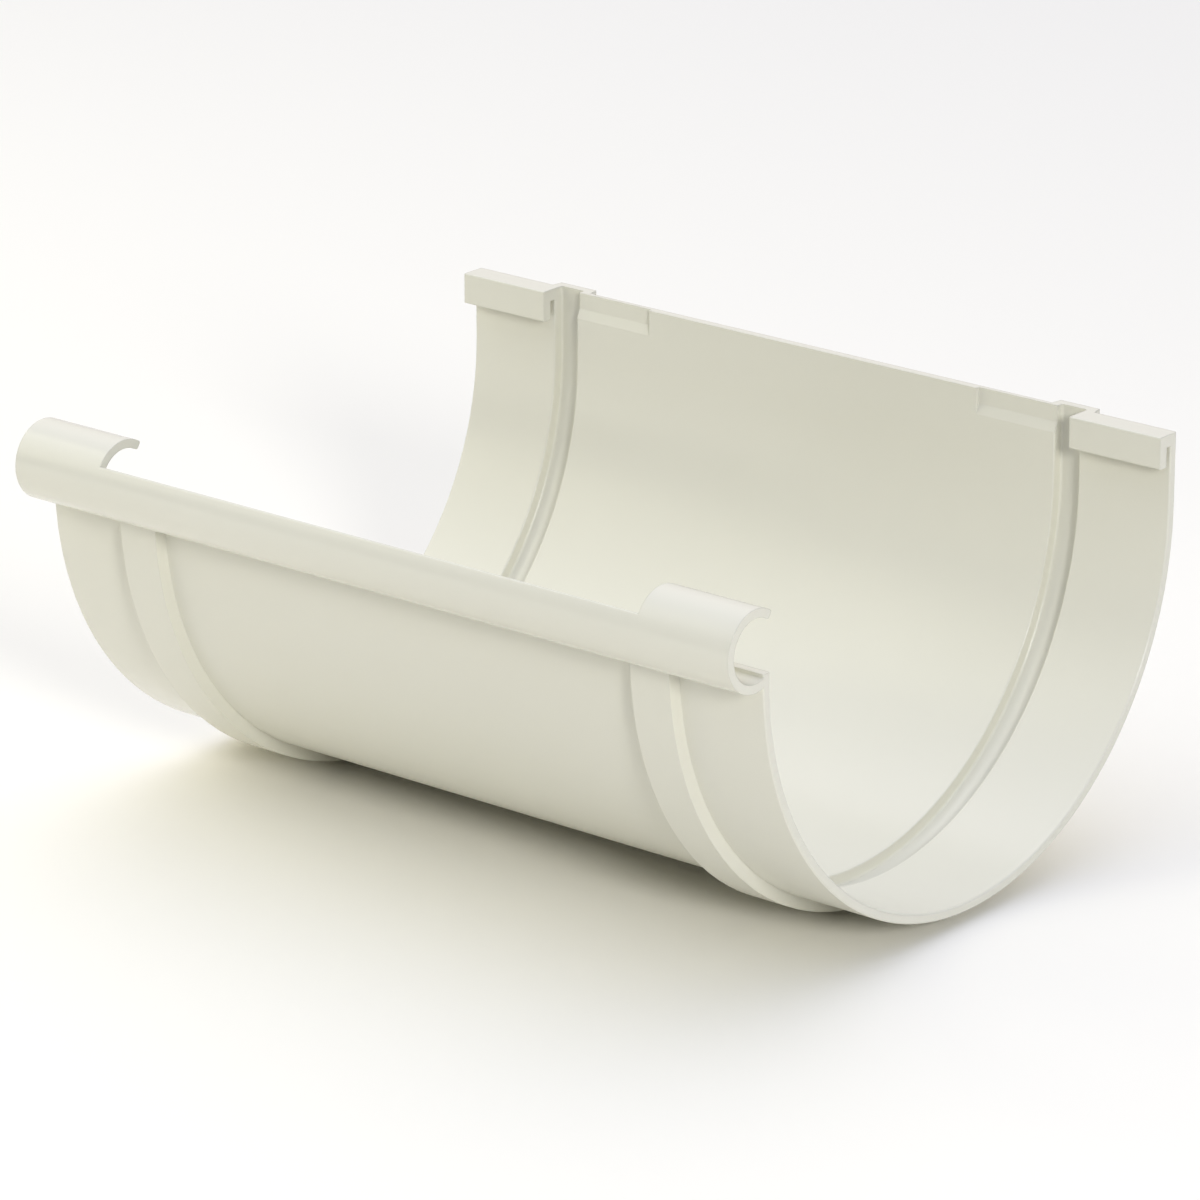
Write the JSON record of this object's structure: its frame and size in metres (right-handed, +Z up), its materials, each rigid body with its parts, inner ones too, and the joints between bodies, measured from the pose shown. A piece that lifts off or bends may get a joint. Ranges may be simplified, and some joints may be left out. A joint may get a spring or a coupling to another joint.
{
  "type": "gutter union",
  "caption": "One-piece moulded union that joins two lengths of half-round rainwater gutter, with seal bands, a hooked front bead and back hooks.",
  "frame": {"origin": "on the axis of the half-round trough, halfway along the union", "axes": "+X along the gutter, +Y towards the fascia board and the tall back wall, +Z up"},
  "size_m": [0.18, 0.145, 0.0834],
  "materials": {
    "moulded_pvc": "smooth satin ivory PVC, as moulded"
  },
  "bodies": {
    "root": {"gutter_union": "moulded_pvc"}
  },
  "joints": []
}
